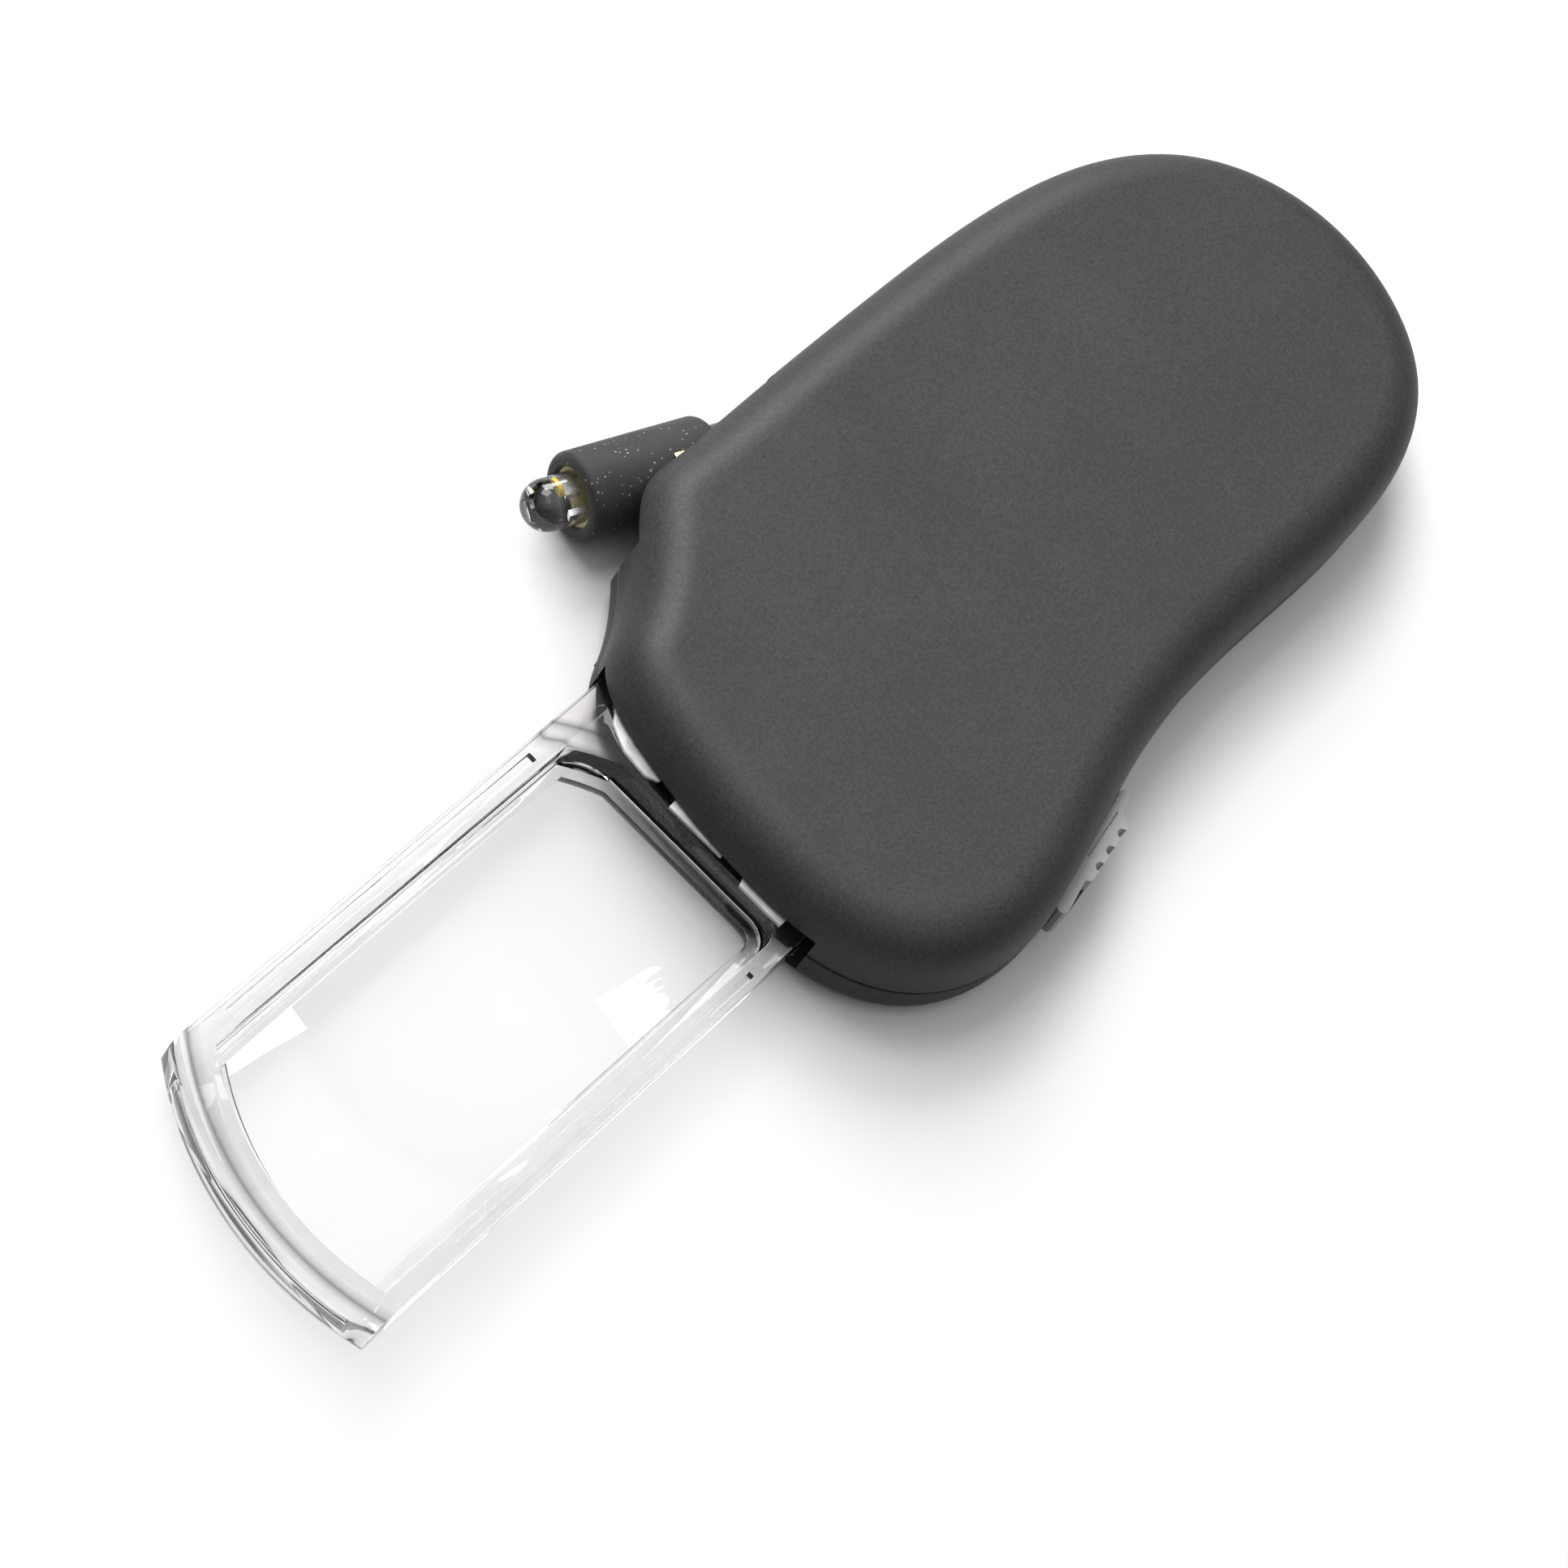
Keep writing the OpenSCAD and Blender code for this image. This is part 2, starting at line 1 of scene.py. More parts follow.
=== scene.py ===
import json
from math import acos, cos, pi, radians, sin, sqrt

import bmesh
import bpy
from mathutils import Matrix, Quaternion, Vector


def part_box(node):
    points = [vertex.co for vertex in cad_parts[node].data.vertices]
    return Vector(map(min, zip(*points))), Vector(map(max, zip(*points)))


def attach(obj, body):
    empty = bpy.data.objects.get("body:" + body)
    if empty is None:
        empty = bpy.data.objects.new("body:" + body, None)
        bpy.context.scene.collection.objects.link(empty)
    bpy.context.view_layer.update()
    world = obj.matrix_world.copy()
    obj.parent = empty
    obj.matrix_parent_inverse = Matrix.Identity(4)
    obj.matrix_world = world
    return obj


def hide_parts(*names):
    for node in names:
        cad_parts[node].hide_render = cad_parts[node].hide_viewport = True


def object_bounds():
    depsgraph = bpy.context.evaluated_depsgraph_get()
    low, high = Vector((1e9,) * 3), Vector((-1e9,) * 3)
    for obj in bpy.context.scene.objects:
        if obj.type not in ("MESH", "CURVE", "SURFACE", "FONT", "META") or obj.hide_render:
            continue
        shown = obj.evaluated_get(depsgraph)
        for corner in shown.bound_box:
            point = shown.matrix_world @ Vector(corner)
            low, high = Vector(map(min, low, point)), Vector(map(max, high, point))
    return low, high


# Shapes are built in millimetres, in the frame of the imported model, and scaled to metres by piece().
MM = 0.001

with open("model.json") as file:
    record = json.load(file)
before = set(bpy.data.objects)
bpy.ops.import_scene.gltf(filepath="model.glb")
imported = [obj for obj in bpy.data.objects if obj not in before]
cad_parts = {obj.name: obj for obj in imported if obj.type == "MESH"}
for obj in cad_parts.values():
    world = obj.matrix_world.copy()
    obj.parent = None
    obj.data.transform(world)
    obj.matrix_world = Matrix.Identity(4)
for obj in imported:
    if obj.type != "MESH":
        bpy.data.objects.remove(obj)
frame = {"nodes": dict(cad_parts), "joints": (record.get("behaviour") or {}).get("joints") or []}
cad_low, cad_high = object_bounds()


def low(node, axis):
    """The lowest place of a CAD node along an axis, in mm."""
    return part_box(node)[0][axis] / MM


def high(node, axis):
    """The highest place of a CAD node along an axis, in mm."""
    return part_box(node)[1][axis] / MM


def joint_place(name):
    """A hinge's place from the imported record, in mm."""
    found = next(j for j in frame["joints"] if j["name"] == name)
    return Vector(found["pos_m"]) / MM


# ---------------------------------------------------------------- dimensions, mm

CASE_TOP = high("upper_case", 2)
SEAM = low("upper_case", 2)
SEAM_GAP = 0.25
RIM = SEAM - SEAM_GAP
TOP_ROUND = 5
BOTTOM_ROUND = 3
WALL = 1.6
FLOOR = 1.3
TONGUE_INSET = 1.75
TONGUE_TOP = high("lower_case", 2) - 0.6
SHOULDER = 8.5
CEILING = CASE_TOP - 1.5
CEILING_INSET = 3.2
EDGE = 0.2

# Control points of the closed curve round the case, counter-clockwise from the mouth.
CASE_POINTS = ((-23.5, -4), (-24, -20), (-16, -30), (-1.5, -31.5), (14.5, -24.8),
               (36.5, -23), (56.3, -24.5), (75.9, -20.3), (83.5, -1), (76.2, 16.2),
               (58.5, 23.7), (30.5, 24.1), (16, 24.1), (4, 23.8), (-2.5, 24.4),
               (-7.5, 19.2), (-14, 14.8), (-20.4, 13.2))
CURVE_STEPS = 14

MOUTH = (-17.7, 13.4)
MOUTH_TOP = 7.2
MOUTH_BACK = -12

CARRIER_LOW = low("lens_carrier", 2)
CARRIER_TOP = CARRIER_LOW + 4.7
CARRIER_SIDES = (-16.6, 12.8)
CARRIER_TAIL = high("lens_carrier", 0) - 3
END_CENTRE = Vector((-49.5, -7.5))
END_RADIUS = 32.7
WINDOW = (-14.8, 10.2)
WINDOW_BACK = -23.5
BEZEL = 3.6
GRIP_ROUND = 1.1
TAB_HEIGHT = 0.4
LEDGE = 1.3
LEDGE_TOP = 2.9
FLANGE_TOP = 3.8
LENS_CENTRE = Vector((-50, -2.3))
LENS_CURVE = 150
LENS_LOW = CARRIER_LOW + 0.2
LENS_THICKNESS = 4.3
RAIL_END = 47

PIVOT = joint_place("lamp_swing")
LAMP_ANGLE = radians(160)
KNUCKLE = 2.4
POCKET_TOP = high("lamp_arm", 2) + 0.3
POCKET_SIDE = 4.8
SLEEVE_BACK = 4.2
SLEEVE_FRONT = 19.3
SLEEVE_RADIUS = 4.3
LED_FLANGE = 16.2
LED_DOME = 21.8
LED_RADIUS = 2.5

KNOB_PLACE = Vector((6.3, -28.3))
KNOB_ANGLE = radians(14)
KNOB_LOW = low("switch_knob", 2)
KNOB_TOP = high("switch_knob", 2)

BAY = joint_place("cap_twist")
CAP_RADIUS = 11.6
CAP_GAP = 0.2
LUG_TURN = radians(40)
LUG_NOTCH_REACH = (9, 12.9)
LUG_NOTCH_HALF = 2.6
CELL_RING_OUTER = 13.95
CELL_RING_INNER = 10.35

SCREWS = ((-11, -23), (30, 18.5), (58, 17), (61, -18))
SCREW_HEAD = 1.9
SCREW_CLEAR = 1.15
SCREW_PILOT = 0.97
RIVET_HOLE = 1.27
RIVET_SEAT = 2.1


# ---------------------------------------------------------------- mesh helpers

def circle(radius, steps, centre=(0, 0)):
    """Points round a circle, counter-clockwise."""
    return [Vector((centre[0] + radius * cos(2 * pi * k / steps),
                    centre[1] + radius * sin(2 * pi * k / steps))) for k in range(steps)]


def arc(centre, radius, start, end, steps):
    """Points along an arc, with angles in degrees."""
    return [Vector((centre[0] + radius * cos(radians(start + (end - start) * k / steps)),
                    centre[1] + radius * sin(radians(start + (end - start) * k / steps))))
            for k in range(steps + 1)]


def skin(rings, closed=False):
    """A mesh through rings of points; both ends are capped unless the rings close on themselves."""
    mesh = bmesh.new()
    made = [[mesh.verts.new(p) for p in ring] for ring in rings]
    count = len(made[0])
    pairs = list(zip(made, made[1:])) + ([(made[-1], made[0])] if closed else [])
    for first, second in pairs:
        for k in range(count):
            n = (k + 1) % count
            mesh.faces.new((first[k], first[n], second[n], second[k]))
    if not closed:
        mesh.faces.new(list(reversed(made[0])))
        mesh.faces.new(made[-1])
    bmesh.ops.recalc_face_normals(mesh, faces=mesh.faces)
    return mesh


def prism(points, bottom, top):
    """A straight solid over an outline."""
    return skin([[Vector((p[0], p[1], z)) for p in points] for z in (bottom, top)])


def block(corner, opposite):
    """A box between two corners."""
    (x0, y0, z0), (x1, y1, z1) = corner, opposite
    return prism([(x0, y0), (x1, y0), (x1, y1), (x0, y1)], z0, z1)


def post(centre, radius, bottom, top, steps=48):
    """An upright round solid."""
    return prism(circle(radius, steps, centre), bottom, top)


def lathe(profile, steps=96, place=None):
    """A body turned about Z from (radius, height) pairs that go round it; radius 0 closes an end."""
    mesh = bmesh.new()
    rings = []
    for radius, height in profile:
        if radius < 1e-6:
            rings.append([mesh.verts.new((0, 0, height))])
        else:
            rings.append([mesh.verts.new((p.x, p.y, height)) for p in circle(radius, steps)])
    pairs = list(zip(rings, rings[1:]))
    if len(rings[0]) > 1:
        pairs.append((rings[-1], rings[0]))
    for first, second in pairs:
        for k in range(steps):
            n = (k + 1) % steps
            corners = [first[k % len(first)], first[n % len(first)],
                       second[n % len(second)], second[k % len(second)]]
            mesh.faces.new(list(dict.fromkeys(corners)))
    bmesh.ops.recalc_face_normals(mesh, faces=mesh.faces)
    if place is not None:
        mesh.transform(place)
    return mesh


def soften(mesh, width, angle=30, segments=2, chosen=None):
    """Rounds the edges that turn by more than an angle."""
    edges = [e for e in mesh.edges if len(e.link_faces) == 2
             and e.calc_face_angle(0) > radians(angle) and (chosen is None or chosen(e))]
    bmesh.ops.bevel(mesh, geom=edges, offset=width, offset_type="OFFSET", segments=segments,
                    profile=0.5, affect="EDGES", clamp_overlap=True)


def as_object(mesh):
    """A working object from a mesh, for modifiers."""
    data = bpy.data.meshes.new("work")
    mesh.to_mesh(data)
    mesh.free()
    made = bpy.data.objects.new("work", data)
    bpy.context.scene.collection.objects.link(made)
    return made


def combine(mesh, others, operation):
    """Unions, cuts or intersects a mesh with others, one after another."""
    target = as_object(mesh)
    for other in others:
        tool = as_object(other)
        step = target.modifiers.new("step", "BOOLEAN")
        step.operation = operation
        step.solver = "EXACT"
        step.object = tool
        graph = bpy.context.evaluated_depsgraph_get()
        data = bpy.data.meshes.new_from_object(target.evaluated_get(graph))
        target.modifiers.clear()
        target.data = data
        bpy.data.objects.remove(tool)
    result = bmesh.new()
    result.from_mesh(target.data)
    bpy.data.objects.remove(target)
    return result


def piece(name, mesh, body, finish, replaced=(), sharp=35):
    """Turns a mesh in mm into a named piece of the model."""
    bmesh.ops.remove_doubles(mesh, verts=mesh.verts, dist=1e-4)
    mesh.transform(Matrix.Scale(MM, 4))
    data = bpy.data.meshes.new(name)
    mesh.to_mesh(data)
    mesh.free()
    data.shade_smooth()
    data.set_sharp_from_angle(angle=radians(sharp))
    made = bpy.data.objects.new(name, data)
    bpy.context.scene.collection.objects.link(made)
    made.data.materials.append(finish)
    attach(made, body)
    if replaced:
        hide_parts(*replaced)
    return made


def refined(node, width, segments=2, angle=30):
    """A copy of a CAD node in mm, with its flat faces joined up and its edges rounded."""
    mesh = bmesh.new()
    mesh.from_mesh(frame["nodes"][node].data)
    mesh.transform(Matrix.Scale(1 / MM, 4))
    bmesh.ops.remove_doubles(mesh, verts=mesh.verts, dist=2e-3)
    bmesh.ops.dissolve_limit(mesh, angle_limit=radians(1), verts=mesh.verts, edges=mesh.edges)
    bmesh.ops.recalc_face_normals(mesh, faces=mesh.faces)
    if width:
        soften(mesh, width, angle=angle, segments=segments)
    return mesh


# ---------------------------------------------------------------- materials

def new_material(name):
    made = bpy.data.materials.new(name)
    made.use_nodes = True
    shader = made.node_tree.nodes["Principled BSDF"]
    return made, made.node_tree, shader


def node_of(tree, kind, **values):
    """A shader node; values are its properties, or its inputs where the name has the prefix in_."""
    made = tree.nodes.new("ShaderNode" + kind)
    for key, value in values.items():
        if key.startswith("in_"):
            made.inputs[key[3:].replace("_", " ")].default_value = value
        else:
            setattr(made, key, value)
    return made


def object_place(tree, stretch=(1, 1, 1)):
    """Object coordinates in mm, stretched along the axes."""
    place = node_of(tree, "TexCoord")
    scale = node_of(tree, "Mapping")
    scale.inputs["Scale"].default_value = [s / MM for s in stretch]
    tree.links.new(place.outputs["Object"], scale.inputs["Vector"])
    return scale.outputs["Vector"]


def noise(tree, place, size, detail=3.0, roughness=0.55):
    """Noise whose blotches are about size mm across."""
    made = node_of(tree, "TexNoise", in_Scale=1 / size, in_Detail=detail, in_Roughness=roughness)
    tree.links.new(place, made.inputs["Vector"])
    return made.outputs["Fac"]


def ramp(tree, source, *stops):
    """A colour ramp from (position, colour) stops."""
    made = node_of(tree, "ValToRGB")
    elements = made.color_ramp.elements
    while len(elements) < len(stops):
        elements.new(0.5)
    for element, (position, colour) in zip(elements, stops):
        element.position = position
        element.color = (*colour, 1)
    tree.links.new(source, made.inputs["Fac"])
    return made.outputs["Color"]


def spread(tree, source, lowest, highest, start=0.3, end=0.7):
    """Maps a 0 to 1 source to a range of values."""
    made = node_of(tree, "MapRange")
    for key, value in (("From Min", start), ("From Max", end), ("To Min", lowest), ("To Max", highest)):
        made.inputs[key].default_value = value
    tree.links.new(source, made.inputs["Value"])
    return made.outputs["Result"]


def bump(tree, source, strength, depth, before=None):
    """A bump from a height source; depth is in mm."""
    made = node_of(tree, "Bump", in_Strength=strength, in_Distance=depth * MM)
    tree.links.new(source, made.inputs["Height"])
    if before is not None:
        tree.links.new(before, made.inputs["Normal"])
    return made.outputs["Normal"]


def mixed(tree, share, first, second):
    """Blends two colours by a share."""
    made = node_of(tree, "Mix", data_type="RGBA")
    tree.links.new(share, made.inputs["Factor"])
    for socket, value in ((made.inputs["A"], first), (made.inputs["B"], second)):
        if isinstance(value, tuple):
            socket.default_value = (*value, 1)
        else:
            tree.links.new(value, socket)
    return made.outputs["Result"]


def moulded(name, dark, light, rough=(0.45, 0.6), grain=0.12, depth=0.01, blotch=6.0,
            stretch=(1, 1, 1), metallic=0.0, coat=0.0, specular=0.5, sheen=0.0):
    """A plastic, rubber or metal with blotches of colour and a fine grain."""
    made, tree, shader = new_material(name)
    place = object_place(tree, stretch)
    broad = noise(tree, place, blotch, detail=4)
    fine = noise(tree, place, grain, detail=2, roughness=0.6)
    colour = ramp(tree, broad, (0.3, dark), (0.7, light))
    tree.links.new(colour, shader.inputs["Base Color"])
    tree.links.new(spread(tree, fine, *rough), shader.inputs["Roughness"])
    tree.links.new(bump(tree, fine, 0.6, depth), shader.inputs["Normal"])
    shader.inputs["Metallic"].default_value = metallic
    shader.inputs["Coat Weight"].default_value = coat
    shader.inputs["Specular IOR Level"].default_value = specular
    shader.inputs["Sheen Weight"].default_value = sheen
    return made


def clear(name, tint, shade, ior=1.49, rough=(0.0, 0.03), ripple=0.002, size=3.0, painted_case_shade=None,
          painted_edge_shade=False):
    """A clear plastic with faint ripples and haze.

    It can be greyed along X between two places in mm, as painted shade from the case, and darkened in a line
    along the round grip end, as painted shade.
    Shadow and diffuse rays pass straight through, so the floor seen through it isn't lit twice.
    """
    made, tree, shader = new_material(name)
    place = object_place(tree)
    wave = noise(tree, place, size, detail=2)
    haze = noise(tree, place, 0.8, detail=5)
    colour = ramp(tree, wave, (0.3, tint), (0.7, (1, 1, 1)))
    # Painted shade: greyer towards the case, standing in for the case's shadow under the lens.
    if painted_case_shade:
        along = node_of(tree, "SeparateXYZ")
        tree.links.new(place, along.inputs["Vector"])
        colour = mixed(tree, spread(tree, along.outputs["X"], 0, 1, *painted_case_shade), colour, (0.86, 0.85, 0.855))
    # Painted shade: a dark line along the rounded grip edge, where the clear edge shows dark.
    if painted_edge_shade:
        away = node_of(tree, "VectorMath", operation="DISTANCE")
        flat = node_of(tree, "VectorMath", operation="MULTIPLY")
        flat.inputs[1].default_value = (1, 1, 0)
        tree.links.new(place, flat.inputs[0])
        tree.links.new(flat.outputs["Vector"], away.inputs[0])
        away.inputs[1].default_value = (END_CENTRE.x, END_CENTRE.y, 0)
        reach = spread(tree, away.outputs["Value"], 0, 1, start=END_RADIUS - 2.6, end=END_RADIUS)
        shade_along = ramp(tree, reach, (0.0, (1, 1, 1)), (0.35, (0.55, 0.54, 0.54)),
                           (0.5, (0.12, 0.12, 0.125)), (0.62, (0.55, 0.54, 0.54)), (0.8, (0.97, 0.95, 0.94)))
        layered = node_of(tree, "Mix", data_type="RGBA", blend_type="MULTIPLY", in_Factor=1.0)
        tree.links.new(colour, layered.inputs["A"])
        tree.links.new(shade_along, layered.inputs["B"])
        colour = layered.outputs["Result"]
    tree.links.new(colour, shader.inputs["Base Color"])
    tree.links.new(spread(tree, haze, *rough, start=0.45, end=0.8), shader.inputs["Roughness"])
    tree.links.new(bump(tree, wave, 0.3, ripple), shader.inputs["Normal"])
    shader.inputs["Transmission Weight"].default_value = 1
    shader.inputs["IOR"].default_value = ior
    output = tree.nodes["Material Output"]
    path = node_of(tree, "LightPath")
    passing = node_of(tree, "BsdfTransparent", in_Color=(shade, shade, shade, 1))
    either = node_of(tree, "MixShader")
    straight = node_of(tree, "Math", operation="MAXIMUM")
    tree.links.new(path.outputs["Is Shadow Ray"], straight.inputs[0])
    tree.links.new(path.outputs["Is Diffuse Ray"], straight.inputs[1])
    tree.links.new(straight.outputs["Value"], either.inputs["Fac"])
    tree.links.new(shader.outputs["BSDF"], either.inputs[1])
    tree.links.new(passing.outputs["BSDF"], either.inputs[2])
    tree.links.new(either.outputs["Shader"], output.inputs["Surface"])
    return made


def case_finish():
    """Soft-touch charcoal paint: a fine grain with faint cloudy mottling."""
    made, tree, shader = new_material("case_finish")
    place = object_place(tree)
    cloud = noise(tree, place, 14, detail=5, roughness=0.6)
    grain = noise(tree, place, 0.3, detail=2, roughness=0.7)
    speck = noise(tree, place, 0.5, detail=3, roughness=0.8)
    base = ramp(tree, cloud, (0.3, (0.030, 0.029, 0.033)), (0.7, (0.038, 0.037, 0.041)))
    grainy = ramp(tree, grain, (0.3, (0.66, 0.66, 0.66)), (0.7, (1.34, 1.34, 1.34)))
    shaded = node_of(tree, "Mix", data_type="RGBA", blend_type="MULTIPLY", in_Factor=1.0)
    tree.links.new(base, shaded.inputs["A"])
    tree.links.new(grainy, shaded.inputs["B"])
    tree.links.new(shaded.outputs["Result"], shader.inputs["Base Color"])
    tree.links.new(spread(tree, speck, 0.5, 0.6), shader.inputs["Roughness"])
    fine = bump(tree, grain, 0.5, 0.012)
    tree.links.new(bump(tree, cloud, 0.15, 0.05, fine), shader.inputs["Normal"])
    shader.inputs["Specular IOR Level"].default_value = 0.35
    return made


def rubber_finish():
    """Matt black rubber with pale dust on it."""
    made, tree, shader = new_material("rubber_finish")
    place = object_place(tree)
    cloud = noise(tree, place, 3, detail=4)
    grain = noise(tree, place, 0.12, detail=2, roughness=0.7)
    base = ramp(tree, cloud, (0.3, (0.014, 0.013, 0.012)), (0.7, (0.024, 0.022, 0.020)))
    dust = node_of(tree, "TexVoronoi", in_Scale=1 / 0.55, in_Randomness=1.0)
    tree.links.new(place, dust.inputs["Vector"])
    dot = spread(tree, dust.outputs["Distance"], 1, 0, start=0.10, end=0.2)
    patch = spread(tree, noise(tree, place, 1.7, detail=2), 0, 1.0, start=0.40, end=0.55)
    both = node_of(tree, "Math", operation="MULTIPLY")
    tree.links.new(dot, both.inputs[0])
    tree.links.new(patch, both.inputs[1])
    tree.links.new(mixed(tree, both.outputs["Value"], base, (0.42, 0.40, 0.36)),
                   shader.inputs["Base Color"])
    tree.links.new(spread(tree, grain, 0.62, 0.8), shader.inputs["Roughness"])
    tree.links.new(bump(tree, grain, 0.6, 0.015), shader.inputs["Normal"])
    shader.inputs["Sheen Weight"].default_value = 0.15
    return made


CASE = case_finish()
RUBBER = rubber_finish()
# The carrier gets a painted dark line of shade along its round grip end.
CLEAR = clear("acrylic", (0.92, 0.91, 0.905), 0.88, painted_edge_shade=True)
SATIN = moulded("satin_acrylic", (0.50, 0.50, 0.50), (0.80, 0.80, 0.80), rough=(0.1, 0.25), grain=0.5,
                depth=0.01, blotch=2.2, coat=0.6)
# The lens is greyed towards the case as painted shade.
LENS = clear("lens_acrylic", (0.985, 0.99, 0.99), 0.975, ripple=0.0006, size=8, painted_case_shade=(-48, -22))
EPOXY = clear("led_epoxy", (0.93, 0.95, 0.97), 0.9, ior=1.53, ripple=0.001, size=1.5)
KNOB = moulded("knob_plastic", (0.30, 0.305, 0.31), (0.36, 0.365, 0.37), rough=(0.38, 0.5), grain=0.16,
               depth=0.008, blotch=4)
# Painted shade: the knob's lower end, coloured dark as if in shadow.
KNOB_END_SHADE = moulded("knob_end_painted_shade", (0.035, 0.028, 0.024), (0.055, 0.045, 0.038), rough=(0.4, 0.55), grain=0.14,
                depth=0.01, blotch=1.5)
CAP = moulded("cap_plastic", (0.045, 0.045, 0.050), (0.060, 0.060, 0.066), grain=0.2, depth=0.014)
DARK = moulded("black_plastic", (0.012, 0.012, 0.013), (0.022, 0.022, 0.023), rough=(0.35, 0.5))
STEEL = moulded("zinc_plate", (0.55, 0.56, 0.58), (0.70, 0.71, 0.72), rough=(0.22, 0.38), grain=0.1,
                depth=0.004, blotch=1.2, metallic=1)
NICKEL = moulded("nickel_plate", (0.62, 0.61, 0.58), (0.72, 0.71, 0.69), rough=(0.15, 0.28), grain=0.3,
                 depth=0.003, blotch=5, stretch=(1, 8, 1), metallic=1)
BRASS = moulded("rolled_brass", (0.68, 0.47, 0.16), (0.85, 0.63, 0.27), rough=(0.2, 0.34), grain=0.12,
                depth=0.004, blotch=1.5, stretch=(0.4, 4, 1), metallic=1)
BOARD = moulded("solder_mask", (0.010, 0.085, 0.030), (0.018, 0.14, 0.05), rough=(0.2, 0.35), grain=0.35,
                depth=0.01, blotch=1.4, coat=0.4)
CERAMIC = moulded("ceramic", (0.018, 0.018, 0.02), (0.05, 0.05, 0.05), rough=(0.3, 0.5), blotch=0.5)
RED = moulded("red_insulation", (0.36, 0.010, 0.010), (0.50, 0.025, 0.02), rough=(0.28, 0.4), grain=0.2,
              depth=0.006, blotch=3)
BLACK = moulded("black_insulation", (0.010, 0.010, 0.010), (0.022, 0.022, 0.022), rough=(0.28, 0.4),
                grain=0.2, depth=0.006, blotch=3)
CREAM = moulded("cream_plastic", (0.70, 0.60, 0.30), (0.82, 0.74, 0.45), rough=(0.3, 0.45), grain=0.1,
                depth=0.006, blotch=0.8)
PHOSPHOR = moulded("phosphor", (0.62, 0.42, 0.03), (0.85, 0.68, 0.12), rough=(0.5, 0.7), grain=0.08,
                   depth=0.01, blotch=0.3)


# ---------------------------------------------------------------- case

def case_curve(inset, steps=CURVE_STEPS):
    """The case's outline, moved inwards by inset: a closed uniform cubic B-spline."""
    count = len(CASE_POINTS)
    points = []
    for i in range(count):
        a, b, c, d = (Vector(CASE_POINTS[(i + k) % count]) for k in range(4))
        for step in range(steps):
            u = step / steps
            place = ((1 - u) ** 3 * a + (3 * u ** 3 - 6 * u * u + 4) * b
                     + (1 + 3 * u + 3 * u * u - 3 * u ** 3) * c + u ** 3 * d) / 6
            along = (-(1 - u) ** 2 * a + (3 * u * u - 4 * u) * b
                     + (1 + 2 * u - 3 * u * u) * c + u * u * d).normalized()
            points.append(place - inset * Vector((along.y, -along.x)))
    return points


def case_loft(levels):
    """A solid or shell through case outlines given as (inset, height) pairs."""
    return skin([[Vector((p.x, p.y, z)) for p in case_curve(inset)] for inset, z in levels])


def slab(inset, bottom, top):
    """A straight solid over the case's outline."""
    return case_loft([(inset, bottom), (inset, top)])


def toward(angle):
    """The unit vector at an angle in radians."""
    return Vector((cos(angle), sin(angle)))


def swing_plan(margin):
    """Plan of the space that the lamp swings through."""
    fold, opened = LAMP_ANGLE + radians(10), LAMP_ANGLE - radians(80)
    reach = POCKET_SIDE + margin
    hub = PIVOT.to_2d()
    inner = hub + reach * toward(fold + pi / 2)
    outer = hub + reach * toward(opened - pi / 2)
    return [hub, outer, outer + 13 * toward(opened), Vector((24, 34)), Vector((-12, 34)),
            inner + 22 * toward(fold), inner]


def lamp_space(bottom):
    """Cutters for the open pocket that the lamp swings in."""
    plan = prism(swing_plan(0), bottom, POCKET_TOP)
    hub = post(PIVOT.to_2d(), KNUCKLE + 0.5, FLOOR, POCKET_TOP)
    return [combine(plan, [post(PIVOT.to_2d(), KNUCKLE - 0.1, -2, FLOOR)], "DIFFERENCE"), hub]


def lamp_wall(bottom, top):
    """The wall that shuts the lamp's pocket off from the inside of the case."""
    plan = combine(prism(swing_plan(0.9), bottom, top),
                   [post(PIVOT.to_2d(), KNUCKLE + 1.4, bottom, top, 72)], "UNION")
    return combine(plan, [slab(WALL - 0.05, bottom, top)], "INTERSECT")


def at_knob(mesh):
    """Moves a mesh from the knob's own axes to its place on the case's side."""
    mesh.transform(Matrix.Translation((*KNOB_PLACE, 0)) @ Matrix.Rotation(KNOB_ANGLE, 4, "Z"))
    return mesh


def knob_recess():
    """Cutters for the recess that the knob sits in and for the slot that its stem slides in."""
    return [at_knob(block((-11.3, -3, 3.2), (7.7, 0.45, 30))),
            at_knob(block((-4.7, -3, 4.5), (2.2, 3.2, 7.3)))]


def quarter(inset, height, radius, sign, steps=15):
    """Levels of a rounded edge from the side wall to the flat face."""
    levels = []
    for k in range(steps + 1):
        a = pi / 2 * k / steps
        levels.append((inset + radius * (1 - cos(a)), height + sign * radius * sin(a)))
    return levels


def carrier_guides():
    """Ribs beside the carrier that guide it."""
    side_low, side_high = CARRIER_SIDES
    stop = CARRIER_TAIL - 3.3
    bottom, top = FLOOR - 0.2, 6.4
    made = [block((stop, side_high + 1.2, bottom), (RAIL_END, side_high + 2.2, top)),
            block((stop, side_low - 2.2, bottom), (RAIL_END, side_low - 1.2, top))]
    for y0, y1 in ((side_high + 0.3, side_high + 2.2), (side_low - 2.2, side_low - 0.3)):
        lip = block((-19, y0, bottom), (stop, y1, top))
        made.append(combine(lip, [slab(WALL + 0.5, bottom - 1, top + 1)], "INTERSECT"))
    return made


